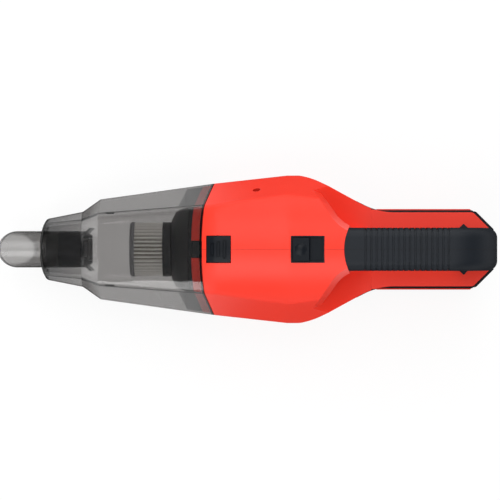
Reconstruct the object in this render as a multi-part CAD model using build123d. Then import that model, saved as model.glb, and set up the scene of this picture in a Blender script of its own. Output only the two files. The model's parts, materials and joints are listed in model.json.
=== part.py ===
from build123d import *
from functools import cache
import math
import os

# Handheld vacuum, millimetres. +Z up, the nose points to -X, the floor is z = 0.

# Walls and clearances
WALL = 2.4
CUP_WALL = 2.2
GAP = 0.4
SEAM_GAP = 0.8
RUN_FIT = 0.06

# Outer form: x, half width, top, base and waist height of each section
CROWN_RADIUS = 63.0
UPPER_LEAN = 23.0
LOWER_LEAN = 25.0
CREASE_ROUND = 10.0
WAIST_ROUND = 12.0
BASE_ROUND = 8.0
NOSE = (-183.0, 27.4, 49.0, 13.6, 31.5)
NECK = (-145.0, 34.8, 63.0, 9.0, 35.0)
SHOULDER = (-128.5, 45.8, 87.0, 5.0, 44.0)
SEAM = (-26.0, 59.6, 119.5, 1.5, 57.0)
WIDEST = (38.0, 66.6, 126.0, 0.0, 60.0)
TAIL = (112.0, 66.6, 142.0, 0.0, 60.0)
NOSE_CORNER = 4.5
NOSE_BULGE = 75.0

# Seam between dust cup and motor housing
SEAM_TILT = 10.0
SPIGOT_LENGTH = 10.0
FLANGE = 3.0

# Motor housing behind the widest section
BODY_HALF = 66.2
HANDLE_NECK_HALF = 18.0
ARM_HALF = 32.6
ARM_TOP = 76.0
ARM_BOTTOM = 58.0
ARM_REAR = 217.5
ARM_CHAMFER = 16.0
ARM_FRONT = 100.0
BELLY_END = 72.0
SHELF_RADIUS = 87.0
SHELF_END = 115.0
SHOULDER_EDGE = 5.0
INNER_EDGE = 3.0

# Handle and grip
HANDLE_WIDTH = 37.0
HANDLE_HEIGHT = 31.0
HANDLE_CORNER = 8.5
GRIP_THICK = 2.6
HANDLE_FRONT_X = 70.0
HANDLE_FRONT_Z = 119.0
HANDLE_BEND_X = 201.5
HANDLE_BEND_Z = 130.0
HANDLE_FOOT_X = 208.5
HANDLE_BEND_RADIUS = 24.0
GRIP_FRONT_X = 85.5
GRIP_FRONT_RADIUS = 43.0
GROOVES = 16
GROOVE_PITCH = 4.7
GROOVE_WIDTH = 1.7
GROOVE_DEPTH = 1.0
GROOVE_FRONT_X = 103.0
FOOT_HALF = 22.5
FOOT_HEIGHT = 3.0

# Inlet
SPOUT_Z = 32.0
SPOUT_TIP = -220.0
SPOUT_RADIUS = 16.3
SPOUT_WALL = 2.3
DUCT_BORE = 11.5
DUCT_RADIUS = 16.2
DUCT_FRONT = -166.0
DUCT_REAR = -139.0
SPIGOT_REACH = 11.0
BAFFLE_RADIUS = 26.0
BAFFLE_HALF = 19.0
FLAP_RADIUS = 14.0
FLAP_THICK = 1.6
PIN_RADIUS = 1.2

# Filter and motor axis
AXIS_Z = 54.0
FILTER_RADIUS = 24.2
FILTER_FRONT = -101.0
FILTER_CAP = 6.0
COLLAR_FRONT = -72.0
COLLAR_REAR = -63.0
PLEATS = 40
PLEAT_DEPTH = 4.0
PLEAT_THICK = 1.0
NECK_RADIUS = 20.0
NECK_BORE = 17.0
CONE_FRONT = -64.0
CONE_SLOPE = 0.53

FAN_RADIUS = 35.0
SHROUD_RADIUS = 40.0
SHROUD_FRONT = -22.0
SHROUD_REAR = 6.0
BLADES = 9
CAN_RADIUS = 21.0
CAN_WALL = 2.0
CAN_LENGTH = 54.0
SHAFT_RADIUS = 2.5
BEARING_RADIUS = 6.5
MOUNT_THICK = 2.2
MOUNT_WIDTH = 5.0

# Controls
BUTTON_FRONT = -32.3
BUTTON_REAR = -11.7
BUTTON_HALF = 11.4
BUTTON_DEPTH = 7.0
TONGUE_FRONT = -44.8
TONGUE_HALF = 7.0
SWITCH_X = 54.4
SWITCH_LENGTH = 29.4
SWITCH_WIDTH = 23.2
SWITCH_SLOPE = 11.0
SLIDER_LENGTH = 15.0
SLIDER_TRAVEL = 9.0

# Battery and its shoe
SHOE_BOTTOM = 44.0
SHOE_PROUD = 1.2
SHOE_BAND = 4.2
PACK_FRONT = 104.0
PACK_REAR = 212.0
PACK_HALF = 35.0
PACK_SPLIT = 24.0
PACK_CHAMFER = 8.0
PACK_WALL = 2.2
TRIM_THICK = 1.2
RAIL_HEAD = 24.0
RAIL_NECK = 21.0
RAIL_STEP = 5.4
RAIL_THICK = 5.2
RAIL_FRONT = 113.0
RAIL_REAR = 208.0
CELL_RADIUS = 9.0
CELL_LENGTH = 65.0
CELL_PITCH = 18.8
LATCH_WIDTH = 24.0
LATCH_HEIGHT = 10.0

# Fasteners
SCREWS = [(10.8, 86.0), (8.0, 10.0), (66.0, 14.0), (112.0, 68.5), (194.0, 67.0)]
BOSS_RADIUS = 4.0
SCREW_RADIUS = 1.5
HEAD_RADIUS = 3.0
HEAD_DEPTH = 14.0

FAR = 300.0


def section(station, inset):
    """Closed outline of the body at one station: crown, two facets a side and a flat base."""
    x, half, top, base, waist = station
    up = math.tan(math.radians(UPPER_LEAN))
    low = math.tan(math.radians(LOWER_LEAN))
    up_y = half - inset / math.cos(math.radians(UPPER_LEAN))
    low_y = half - inset / math.cos(math.radians(LOWER_LEAN))
    waist_z = waist + (up_y - low_y) / (up + low)
    waist_y = up_y - (waist_z - waist) * up
    base_z = base + inset
    base_y = low_y + (base_z - waist) * low
    centre = top - CROWN_RADIUS
    reach = up_y + waist * up
    a = 1 + up * up
    b = reach * up + centre
    k = reach**2 + centre**2 - (CROWN_RADIUS - inset) ** 2
    crease_z = (b + math.sqrt(b * b - a * k)) / a
    crease_y = reach - crease_z * up
    right = [(-base_y, base_z), (base_y, base_z), (waist_y, waist_z), (crease_y, crease_z)]
    left = [(-crease_y, crease_z), (-waist_y, waist_z), (-base_y, base_z)]
    crown = ThreePointArc(right[-1], (0, top - inset), left[0])
    sides = [Line(p, q) for p, q in zip(right, right[1:])]
    sides += [Line(p, q) for p, q in zip(left, left[1:])]
    face = make_face(sides + [crown])
    for height, size in ((crease_z, CREASE_ROUND), (waist_z, WAIST_ROUND), (base_z, BASE_ROUND)):
        corners = [v for v in face.vertices() if abs(v.Y - height) < 1e-3]
        face = fillet(corners, max(size - inset, 0.8))
    return Plane(origin=(x, 0, 0), x_dir=(0, 1, 0), z_dir=(1, 0, 0)) * face


@cache
def form(inset):
    """The whole outer form from nose to tail, drawn in by inset."""
    stations = (NOSE, NECK, SHOULDER, SEAM, WIDEST, TAIL)
    return loft([section(station, inset) for station in stations], ruled=True)


def ahead(solid, shift):
    """What lies in front of the seam plane moved forward by shift."""
    return split(solid, seam(shift), keep=Keep.TOP)


def behind(solid, shift):
    """What lies behind the seam plane moved forward by shift."""
    return split(solid, seam(shift), keep=Keep.BOTTOM)


def seam(shift):
    tilt = math.radians(SEAM_TILT)
    forward = Vector(-math.cos(tilt), 0, -math.sin(tilt))
    start = Vector(SEAM[0], 0, SEAM[4])
    return Plane(origin=start + forward * shift, z_dir=forward)


def box(x0, x1, y0, y1, z0, z1):
    size = Box(x1 - x0, y1 - y0, z1 - z0)
    return Pos((x0 + x1) / 2, (y0 + y1) / 2, (z0 + z1) / 2) * size


def rod(x0, x1, radius, z=AXIS_Z, y=0.0):
    """A cylinder along X."""
    return Pos((x0 + x1) / 2, y, z) * Rot(0, 90, 0) * Cylinder(radius, x1 - x0)


def tube(x0, x1, outer, inner, z=AXIS_Z):
    return rod(x0, x1, outer, z) - rod(x0 - 1, x1 + 1, inner, z)


def crossbar(x, z, radius, y0, y1):
    """A cylinder along Y."""
    return Pos(x, (y0 + y1) / 2, z) * Rot(90, 0, 0) * Cylinder(radius, y1 - y0)


def across(*points):
    """A side outline in XZ carried through the full width."""
    return extrude(Plane.XZ * make_face(Polyline(*points, close=True)), FAR, both=True)


def plan(points, radii, height):
    """A half plan outline in XY, mirrored about the centreline and raised to height."""
    upper = FilletPolyline(*points, radius=radii)
    lower = mirror(upper, about=Plane.XZ)
    ends = [Line(upper @ 0, lower @ 0), Line(upper @ 1, lower @ 1)]
    return extrude(make_face([upper, lower] + ends), height)


def upper_plan(inset):
    """Plan of the crown: full width, then an S into the handle neck."""
    half = BODY_HALF - inset
    neck = HANDLE_NECK_HALF - inset
    shift = inset * 0.55
    points = [(-FAR, half), (55.5 - shift, half), (87.5 - shift, neck), (112, neck)]
    return plan(points, [40 - inset, 27 + inset], 220)


def lower_plan(inset):
    """Plan of the lower body: full width, then a taper into the arm and its chamfered end."""
    half = BODY_HALF - inset
    arm = ARM_HALF - inset
    rear = ARM_REAR - inset
    corner = (rear - ARM_CHAMFER + 0.41 * inset, arm)
    shift = inset * 0.24
    points = [(-FAR, half), (53.8 - shift, half), (117.2 - shift, arm), corner]
    points.append((rear, arm - (rear - corner[0])))
    return plan(points, [60 - inset, 60 + inset, 5 - inset], 220)


def shelf(inset):
    """All that lies under the hollow sweep from the crown down to the arm."""
    centre_z = ARM_TOP + SHELF_RADIUS
    radius = SHELF_RADIUS + inset
    low = ARM_TOP - inset
    front = SHELF_END - radius
    sweep_arc = RadiusArc((front, centre_z), (SHELF_END, low), -radius)
    points = [(SHELF_END, low), (FAR, low), (FAR, -20), (-FAR, -20), (-FAR, centre_z)]
    points.append((front, centre_z))
    lines = [Line(p, q) for p, q in zip(points, points[1:])]
    return extrude(Plane.XZ * make_face([sweep_arc] + lines), FAR, both=True)


def hand_gap(inset):
    """The hole for the fingers, between handle and arm."""
    top = HANDLE_FRONT_Z - 11 + inset
    points = [(101 - inset, ARM_TOP - inset), (240, ARM_TOP - inset), (240, top), (98 - inset, top)]
    outline = FilletPolyline(*points, close=True, radius=[14 + inset, 1, 1, 12 + inset])
    return extrude(Plane.XZ * make_face(outline), FAR, both=True)


def under_arm(inset):
    """The space behind the belly and under the arm."""
    points = [(BELLY_END - inset, -30), (BELLY_END - inset, 0), (ARM_FRONT - inset, SHOE_BOTTOM)]
    points += [(ARM_FRONT - inset, ARM_BOTTOM), (FAR, ARM_BOTTOM), (FAR, -30)]
    return across(*points)


def mass(inset):
    """Motor housing and arm as one solid, drawn in by inset."""
    arm = box(70, ARM_REAR + 5, -35 + inset, 35 - inset, ARM_BOTTOM - 6, ARM_TOP - inset)
    space = upper_plan(inset) + (lower_plan(inset) & shelf(inset))
    solid = (form(inset) + arm) & space
    return solid - hand_gap(inset) - under_arm(inset)


def bevelled_shoulders(inset, size):
    """The mass with a bevel where the crown breaks off to the handle neck."""
    solid = mass(inset)
    edges = []
    for wall in solid.faces():
        middle = wall.center()
        upright = abs(wall.normal_at(middle).Z) < 1e-3
        if upright and middle.Z > 80 and 40 < middle.X < 111.9:
            edges += [e for e in wall.edges() if abs(e.tangent_at(0.5).Z) < 0.9]
    edges = [e for e in edges if e.center().Z > 77 + 0.3 * e.center().X]
    return chamfer(edges, size)


def handle_path():
    points = [(HANDLE_FRONT_X, HANDLE_FRONT_Z), (HANDLE_BEND_X, HANDLE_BEND_Z)]
    points.append((HANDLE_FOOT_X, ARM_BOTTOM + 2))
    return Plane.XZ * FilletPolyline(*points, radius=HANDLE_BEND_RADIUS)


@cache
def handle_bar(inset):
    """The bent bar of the handle and its rear strut, drawn in by inset."""
    path = handle_path()
    place = Plane(origin=path @ 0, x_dir=(0, 1, 0), z_dir=path % 0)
    shape = RectangleRounded(
        HANDLE_WIDTH - 2 * inset, HANDLE_HEIGHT - 2 * inset, HANDLE_CORNER - inset
    )
    return sweep(place * shape, path=path)


def grip_zone():
    """Everything behind the curved front edge of the grip and above the arm."""
    centre = GRIP_FRONT_X + GRIP_FRONT_RADIUS
    nose = Pos(centre, 0, 110) * Cylinder(GRIP_FRONT_RADIUS, 200)
    rest = box(centre, 260, -60, 60, 10, 210)
    return (nose + rest) & box(0, 260, -60, 60, ARM_TOP, 210)


def window_plane():
    """Top of the crown at the switch, sloping with it."""
    rise = TAIL[2] - WIDEST[2]
    height = WIDEST[2] + rise * (SWITCH_X - WIDEST[0]) / (TAIL[0] - WIDEST[0])
    slope = math.radians(SWITCH_SLOPE)
    along = (math.cos(slope), 0, math.sin(slope))
    up = (-math.sin(slope), 0, math.cos(slope))
    return Plane(origin=(SWITCH_X, 0, height), x_dir=along, z_dir=up)


def at_switch(x0, x1, half, z0, z1):
    block = Pos((x0 + x1) / 2, 0, (z0 + z1) / 2) * Box(x1 - x0, 2 * half, z1 - z0)
    return window_plane() * block


def spigot():
    """Front flange of the housing and the collar that the cup slides over."""
    outside = CUP_WALL + GAP
    flange = behind(ahead(form(0) - form(outside + WALL), -FLANGE), 0)
    collar = form(outside) - form(outside + WALL)
    return flange + behind(ahead(collar, -FLANGE / 2), SPIGOT_LENGTH)


def tongue_slot():
    """Passage of the latch tongue through flange and collar."""
    wide = TONGUE_HALF + GAP
    cut = box(-56, BUTTON_FRONT + 1, -wide, wide, 94, 130)
    return cut & form(CUP_WALL + GAP - 0.2)


def vents():
    """Exhaust slots through the lower facets."""
    cuts = [box(x, x + 3, -80, 80, 16, 42) for x in range(20, 62, 6)]
    return Part() + cuts - box(0, 80, -30, 30, 0, 80)


def cradles():
    """Ribs of the housing that carry the two rubber motor mounts."""
    ring = CAN_RADIUS + MOUNT_THICK
    x_front = SHROUD_REAR + 7
    x_rear = SHROUD_REAR + CAN_LENGTH - 12
    ribs = []
    for x in (x_front, x_rear):
        ribs.append(box(x, x + WALL, -70, 70, AXIS_Z - 44, AXIS_Z + ring - 3))
    hole = rod(x_front - 1, x_rear + WALL + 1, ring)
    return (Part() + ribs) - hole


def bosses():
    """Screw pillars across the housing, met at the parting plane."""
    return Part() + [crossbar(x, z, BOSS_RADIUS, -70, 70) for x, z in SCREWS]


def housing():
    """Both clam shells, parted on the centreline: left lies on -Y, right on +Y."""
    outside = bevelled_shoulders(0, SHOULDER_EDGE)
    inside = bevelled_shoulders(WALL, INNER_EDGE)
    grip = handle_bar(0) & grip_zone()
    core = handle_bar(GRIP_THICK) & box(80, 260, -60, 60, ARM_BOTTOM + 2, 210)
    bore = handle_bar(GRIP_THICK + WALL)
    shell = behind(outside, 0) - behind(inside, 1)
    shell += behind(inside & (cradles() + bosses()), -FLANGE / 2)
    shell += spigot()
    shell -= grip_zone() & box(80, 260, -60, 60, HANDLE_FRONT_Z - 13, 210)
    shell = (shell - grip) + core - (bore & box(95, 260, -60, 60, ARM_BOTTOM, 210))
    shell -= tongue_slot()
    shell -= box(
        BUTTON_FRONT - GAP, BUTTON_REAR + GAP, -BUTTON_HALF - GAP, BUTTON_HALF + GAP, 104, 140
    )
    half = SWITCH_LENGTH / 2
    shell -= at_switch(-half, half, SWITCH_WIDTH / 2, -14, 20)
    shell -= vents()
    for x, z in SCREWS:
        shell -= crossbar(x, z, SCREW_RADIUS, -HEAD_DEPTH, HEAD_DEPTH)
        shell -= crossbar(x, z, HEAD_RADIUS + 0.3, HEAD_DEPTH, 90)
    left = split(shell, Plane.XZ, keep=Keep.TOP)
    right = split(shell, Plane.XZ, keep=Keep.BOTTOM)
    return left, right


def grips():
    """Soft grip over the handle bar, in two halves, with a band of cross grooves."""
    skin = handle_bar(0) - handle_bar(GROOVE_DEPTH)
    cuts = []
    for i in range(GROOVES):
        x = GROOVE_FRONT_X + i * GROOVE_PITCH
        cuts.append(box(x, x + GROOVE_WIDTH, -60, 60, HANDLE_FRONT_Z - 4, 180))
    foot = Pos(HANDLE_FOOT_X - HANDLE_HEIGHT / 2, 0, ARM_TOP + FOOT_HEIGHT / 2) * Rot(0, 0, 45)
    foot = foot * Box(FOOT_HALF * math.sqrt(2), FOOT_HALF * math.sqrt(2), FOOT_HEIGHT)
    whole = (handle_bar(0) & grip_zone()) + foot - handle_bar(GRIP_THICK)
    whole -= skin & (Part() + cuts)
    whole -= box(ARM_REAR + 20, 300, -60, 60, 0, 300)
    return split(whole, Plane.XZ, keep=Keep.TOP), split(whole, Plane.XZ, keep=Keep.BOTTOM)


def bulged_front(inset):
    """Everything behind the bowed front of the nose."""
    centre = NOSE[0] + NOSE_BULGE
    bow = Pos(centre, 0, 60) * Cylinder(NOSE_BULGE - inset, 200)
    return bow + box(centre, 60, -90, 90, -40, 160)


def dust_cup():
    """Clear cup: front wall with a hole for the spout, open at the rear."""
    outside = ahead(form(0), SEAM_GAP) & bulged_front(0)
    front = outside.faces().sort_by(Axis.X)[0]
    outside = fillet(front.edges(), NOSE_CORNER)
    inside = ahead(form(CUP_WALL), 0) & bulged_front(CUP_WALL)
    hole = rod(NOSE[0] - 1, NOSE[0] + 2 * NOSE_CORNER, SPOUT_RADIUS + GAP, SPOUT_Z)
    return outside - inside - hole


def inlet_spout():
    """Clear tube with a slanted mouth; it plugs over the front of the duct."""
    rear = DUCT_FRONT
    barrel = rod(SPOUT_TIP, rear, SPOUT_RADIUS, SPOUT_Z)
    barrel -= rod(SPOUT_TIP - 1, rear + 1, SPOUT_RADIUS - SPOUT_WALL, SPOUT_Z)
    top = SPOUT_Z + SPOUT_RADIUS
    reach = 2 * SPOUT_RADIUS
    cut = across(
        (SPOUT_TIP, top), (SPOUT_TIP + reach + 2, top - reach - 2), (SPOUT_TIP - 9, top - reach - 9)
    )
    return barrel - cut


def intake_duct():
    """Black duct behind the spout, with a curved baffle, hinge lugs and a web to the cup floor."""
    neck = SPOUT_RADIUS - SPOUT_WALL - RUN_FIT
    duct = rod(DUCT_FRONT - SPIGOT_REACH, DUCT_FRONT, neck, SPOUT_Z)
    barrel = rod(DUCT_FRONT, DUCT_REAR, DUCT_RADIUS, SPOUT_Z)
    duct += barrel - rod(DUCT_REAR - 4, DUCT_REAR + 1, 40, SPOUT_Z)
    duct += Pos(DUCT_REAR - 4, 0, SPOUT_Z) * Rot(0, 90, 0) * extrude(
        RegularPolygon(DUCT_RADIUS, 8, major_radius=False, rotation=22.5), 4
    )
    arc = Pos(DUCT_REAR - 7 + BAFFLE_RADIUS, 0, SPOUT_Z) * (
        Cylinder(BAFFLE_RADIUS, 36) - Cylinder(BAFFLE_RADIUS - 1.8, 40)
    )
    duct += arc & box(DUCT_REAR - 9, DUCT_REAR + 20, -BAFFLE_HALF, BAFFLE_HALF, 0, 70)
    hinge_z = SPOUT_Z + FLAP_RADIUS + 2.5
    for y in (-12.5, 10.0):
        duct += box(DUCT_REAR - 3, DUCT_REAR + 4, y, y + 2.5, SPOUT_Z + 11.5, hinge_z + 2.6)
    web = box(DUCT_FRONT + 2, DUCT_REAR - 6, -1.5, 1.5, 0, SPOUT_Z - 12)
    duct += ahead(web & form(CUP_WALL), 0)
    duct -= rod(DUCT_FRONT - 30, DUCT_REAR + 30, DUCT_BORE, SPOUT_Z)
    duct -= crossbar(DUCT_REAR + 1.9, hinge_z, PIN_RADIUS, -30, 30)
    return duct


def flap_valve():
    """Soft disc that hangs over the mouth of the duct."""
    hinge_z = SPOUT_Z + FLAP_RADIUS + 2.5
    face = DUCT_REAR + 0.3
    disc = rod(face, face + FLAP_THICK, FLAP_RADIUS - 0.4, SPOUT_Z)
    strap = box(face, face + FLAP_THICK, -9.5, 9.5, SPOUT_Z + 6, hinge_z)
    eye = crossbar(DUCT_REAR + 1.9, hinge_z, PIN_RADIUS + 1.2, -9.5, 9.5)
    eye &= box(face, face + 10, -20, 20, 0, 90)
    return disc + strap + eye - crossbar(DUCT_REAR + 1.9, hinge_z, PIN_RADIUS + RUN_FIT, -20, 20)


def flap_pin():
    return crossbar(DUCT_REAR + 1.9, SPOUT_Z + FLAP_RADIUS + 2.5, PIN_RADIUS, -12.5, 12.5)


def filter_frame():
    """Black funnel on the front of the housing that carries the filter neck."""
    def cone(shift, grow):
        length = 60
        small = FILTER_RADIUS + 2 + grow
        shape = Cone(small + length / CONE_SLOPE, small, length)
        return Pos(CONE_FRONT + shift + length / 2, 0, AXIS_Z) * Rot(0, -90, 0) * shape
    edge = CUP_WALL + 2 * GAP
    funnel = form(edge) & cone(0, 0)
    funnel -= form(edge + WALL) & cone(WALL, 0)
    funnel = ahead(funnel, SPIGOT_LENGTH)
    funnel += rod(COLLAR_FRONT + 2, CONE_FRONT + WALL, NECK_RADIUS)
    return funnel - rod(COLLAR_FRONT - 9, -20, NECK_BORE)


def cup_seal():
    """Flat rubber ring clamped between the funnel edge and the housing collar."""
    edge = CUP_WALL + 2 * GAP
    ring = form(edge + WALL) - form(edge + 2 * WALL)
    wide = TONGUE_HALF + GAP
    ring -= box(-80, 0, -wide, wide, 90, 130)
    return behind(ahead(ring, SPIGOT_LENGTH - 3), SPIGOT_LENGTH)


def pleat_star(radius):
    """Closed zigzag in the cross plane."""
    points = []
    for i in range(2 * PLEATS):
        turn = math.pi * i / PLEATS
        size = radius if i % 2 else radius - PLEAT_DEPTH
        points.append((size * math.cos(turn), size * math.sin(turn)))
    return make_face(Polyline(*points, close=True))


def filter_pleats():
    front = FILTER_FRONT + FILTER_CAP - 2
    ring = pleat_star(FILTER_RADIUS - 0.5) - pleat_star(FILTER_RADIUS - 0.5 - PLEAT_THICK)
    block = extrude(ring, COLLAR_FRONT - front)
    return Pos(front, 0, AXIS_Z) * Rot(0, 90, 0) * block


def filter_cap():
    """Closed front of the filter, dished, with a rim that holds the pleats."""
    back = FILTER_FRONT + FILTER_CAP
    cap = rod(FILTER_FRONT, back - 2, FILTER_RADIUS)
    cap = chamfer(cap.edges().group_by(Axis.X)[0], 1.5)
    return cap - rod(FILTER_FRONT - 1, FILTER_FRONT + 1.5, FILTER_RADIUS - 7)


def filter_collar():
    """Rear ring of the filter; it slides over the neck of the funnel."""
    ring = tube(COLLAR_FRONT, COLLAR_REAR - 1.4, FILTER_RADIUS, NECK_RADIUS + RUN_FIT)
    return chamfer(ring.edges().group_by(Axis.X)[-1][:1], 0.6)


def release_button():
    """Latch button with three ridges; its tongue reaches forward under the cup rim."""
    block = box(BUTTON_FRONT, BUTTON_REAR, -BUTTON_HALF, BUTTON_HALF, 90, 140)
    button = block & (form(-0.6) - form(BUTTON_DEPTH))
    button = fillet(button.edges().filter_by(Axis.Z), 1.5)
    for i, half in enumerate((4.6, 5.8, 7.0)):
        x = BUTTON_FRONT + 4.7 + 5.4 * i
        button -= box(x - 1.5, x + 1.5, -half - 0.8, half + 0.8, 100, 140) - form(0.2)
        ridge = box(x - 0.7, x + 0.7, -half, half, 100, 140)
        button += ridge & (form(-0.9) - form(1))
    strip = box(TONGUE_FRONT, BUTTON_FRONT + 4, -TONGUE_HALF, TONGUE_HALF, 90, 140)
    top = CUP_WALL + 2 * GAP
    return button + (strip & (form(top) - form(top + 3)))


def coil(x, y, z0, z1, radius, wire, turns):
    """A plain open coil standing along Z."""
    height = z1 - z0 - wire
    path = Helix(height / turns, height, radius)
    place = Plane(origin=path @ 0, z_dir=path % 0)
    spring = sweep(place * Circle(wire / 2), path=path, is_frenet=True)
    return Pos(x, y, z0 + wire / 2) * spring


def release_spring():
    return coil(-16, 0, AXIS_Z + SHROUD_RADIUS + 2, 113.5, 3.5, 0.9, 5)


def slider_slot(bottom):
    """Way of the slider leg; the slider covers it in its front position."""
    front = -SWITCH_LENGTH / 2 + 1.2 + GAP
    return at_switch(front + 1 - GAP, front + 4 + SLIDER_TRAVEL + GAP, 2.5 + GAP, bottom, 0)


def switch_bezel():
    """Black frame in the crown with a recessed bed for the slider."""
    half = SWITCH_LENGTH / 2
    frame = at_switch(-half, half, SWITCH_WIDTH / 2, -7, 8) & form(0)
    bed = at_switch(-half + 1.2, half - 1.2, SWITCH_WIDTH / 2 - 1.2, -2.6, 20)
    return frame - bed - slider_slot(-10)


def switch_slider():
    """Thumb slider with a dished top and a leg through the bed."""
    front = -SWITCH_LENGTH / 2 + 1.2 + GAP
    rear = front + SLIDER_LENGTH
    half = SWITCH_WIDTH / 2 - 1.2 - GAP
    top = at_switch(front, rear, half, -2.6 + GAP, 1.2)
    top = fillet(top.edges().filter_by(Axis.Y), 0.8)
    dish = window_plane() * Pos((front + rear) / 2, 0, 9.2) * Sphere(9.6)
    leg = at_switch(front + 1, front + 4, 2.5, -12, -2)
    return top - dish + leg


def switch_module():
    """Switch body under the bezel, with a slot for the slider leg."""
    half = SWITCH_LENGTH / 2
    block = at_switch(-half + 1, half - 1, 8, -22, -7)
    return block - slider_slot(-13)


def fan_shroud():
    """Drum round the fan: inlet eye in front, outlets round the rear edge."""
    drum = rod(SHROUD_FRONT, SHROUD_REAR, SHROUD_RADIUS)
    drum -= rod(SHROUD_FRONT + 2, SHROUD_REAR - 2, SHROUD_RADIUS - 2)
    drum -= rod(SHROUD_FRONT - 1, SHROUD_FRONT + 3, NECK_BORE)
    drum -= rod(SHROUD_REAR - 3, SHROUD_REAR + 1, BEARING_RADIUS + 2)
    for i in range(8):
        turn = Pos(0, 0, AXIS_Z) * Rot(22.5 + 45 * i, 0, 0)
        drum -= turn * Pos(SHROUD_REAR - 1, 0, 32) * Box(6, 14, 8)
    top = AXIS_Z + SHROUD_RADIUS
    return drum + (box(-20, -12, -5, 5, top - 3, top + 2) - rod(-30, 0, SHROUD_RADIUS - 1))


def impeller():
    """Fan: back plate, hub and curved blades."""
    front = SHROUD_FRONT + 4
    back = SHROUD_REAR - 9
    wheel = rod(back - 2, back, FAN_RADIUS) + rod(front + 4, back, 8)
    for i in range(BLADES):
        ring = Cylinder(20, back - front) - Cylinder(18.8, back - front + 2)
        blade = Pos(0, 20, 0) * ring & Pos(17, 13, 0) * Box(26, 26, back - front + 4)
        turn = Pos((front + back) / 2, 0, AXIS_Z) * Rot(360 / BLADES * i, 0, 0) * Rot(0, 90, 0)
        wheel += turn * blade
    wheel &= rod(front, back, FAN_RADIUS)
    return wheel - rod(front - 5, back + 5, SHAFT_RADIUS)


def motor_can():
    front = SHROUD_REAR
    can = tube(front, front + CAN_LENGTH, CAN_RADIUS, CAN_RADIUS - CAN_WALL)
    return can + tube(front, front + 2, CAN_RADIUS, BEARING_RADIUS)


def motor_cap():
    rear = SHROUD_REAR + CAN_LENGTH
    cap = rod(rear, rear + 4, CAN_RADIUS)
    for y in (-13, 13):
        cap += box(rear + 4, rear + 7, y - 3, y + 3, AXIS_Z - 1, AXIS_Z + 1)
    return cap - rod(rear - 1, rear + 9, BEARING_RADIUS)


def motor_magnets():
    front = SHROUD_REAR + 8
    ring = tube(front, front + 34, CAN_RADIUS - CAN_WALL, 16.8)
    return ring - box(front - 1, front + 35, -5, 5, 0, 120)


def armature():
    """Slotted iron stack with a commutator."""
    front = SHROUD_REAR + 9
    stack = rod(front, front + 32, 16.2)
    for i in range(8):
        stack -= Pos(front + 16, 0, AXIS_Z) * Rot(45 * i, 0, 0) * Pos(0, 0, 14) * Box(34, 2.4, 8)
    stack += rod(front + 32, front + 41, 8)
    return stack - rod(front - 1, front + 50, SHAFT_RADIUS)


def motor_shaft():
    return rod(SHROUD_FRONT + 6, SHROUD_REAR + CAN_LENGTH + 6, SHAFT_RADIUS)


def bearing(x0, x1):
    return tube(x0, x1, BEARING_RADIUS, SHAFT_RADIUS + RUN_FIT)


def motor_mount(x):
    """Rubber ring between motor can and housing rib."""
    middle = x + WALL / 2
    ring = tube(middle - MOUNT_WIDTH / 2, middle + MOUNT_WIDTH / 2, CAN_RADIUS + MOUNT_THICK, CAN_RADIUS)
    return ring


def shoe_outline():
    """Plan of the shoe: the arm grown a little, with a broad band round its chamfered end."""
    side = ARM_HALF + SHOE_PROUD
    corner = ARM_REAR - ARM_CHAMFER + SHOE_BAND
    rear = ARM_REAR + 4
    points = [(ARM_FRONT, 42.8), (117.8, side), (corner, side), (rear, side - (rear - corner))]
    return plan(points, [50, 4], ARM_BOTTOM - SHOE_BOTTOM)


def battery_shoe():
    """Black base of the arm with the T slot that the battery slides into from behind."""
    shoe = Pos(0, 0, SHOE_BOTTOM) * shoe_outline()
    front = RAIL_FRONT - 1
    head = RAIL_HEAD + GAP
    neck = RAIL_NECK + GAP
    step = SHOE_BOTTOM + RAIL_STEP - 2 * GAP
    shoe -= box(front, FAR, -neck, neck, SHOE_BOTTOM - 1, step + 1)
    shoe -= box(front, FAR, -head, head, step, SHOE_BOTTOM + RAIL_STEP + RAIL_THICK)
    for x in (126, 156):
        for y in (-14, 14):
            shoe += box(x, x + 4, y - 2, y + 2, ARM_BOTTOM, ARM_BOTTOM + 4)
    return shoe - terminal_pocket(0)


def terminal_pocket(clear):
    return box(ARM_FRONT + 4 - clear, RAIL_FRONT, -16, 16, SHOE_BOTTOM + 4, ARM_BOTTOM + 1)


def terminal_block():
    return terminal_pocket(0) & box(0, RAIL_FRONT - 1, -16, 16, 0, ARM_BOTTOM)


def terminal_blades():
    front = RAIL_FRONT - 1
    z = SHOE_BOTTOM + 7.2
    return Part() + [box(front, front + 9, y - 0.4, y + 0.4, z - 2, z + 2) for y in (-12, -4, 4, 12)]


def control_board():
    board = box(124, 162, -17, 17, ARM_BOTTOM + 4, ARM_BOTTOM + 5.6)
    for x, y in ((130, -8), (142, 6), (152, -6)):
        board += box(x, x + 7, y - 4, y + 4, ARM_BOTTOM + 5.6, ARM_BOTTOM + 8.6)
    return board


def motor_leads():
    """Two wires from the control board to the motor tags."""
    wires = []
    for y in (-13, 13):
        rear = SHROUD_REAR + CAN_LENGTH + 7
        points = [(124, y, ARM_BOTTOM + 4.8), (92, y, ARM_BOTTOM + 4.8), (86, y, AXIS_Z), (rear, y, AXIS_Z)]
        path = FilletPolyline(*points, radius=3)
        wires.append(sweep(Plane(origin=path @ 0, z_dir=path % 0) * Circle(1.2), path=path))
    return Part() + wires


def pack_outline(inset, height):
    half = PACK_HALF - inset
    rear = PACK_REAR - inset
    turn = 0.41 * inset
    points = [(PACK_FRONT + inset, half), (rear - PACK_CHAMFER + turn, half)]
    points.append((rear, half - PACK_CHAMFER + turn))
    upper = Polyline(*points)
    lower = mirror(upper, about=Plane.XZ)
    ends = [Line(upper @ 0, lower @ 0), Line(upper @ 1, lower @ 1)]
    return extrude(make_face([upper, lower] + ends), height)


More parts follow.
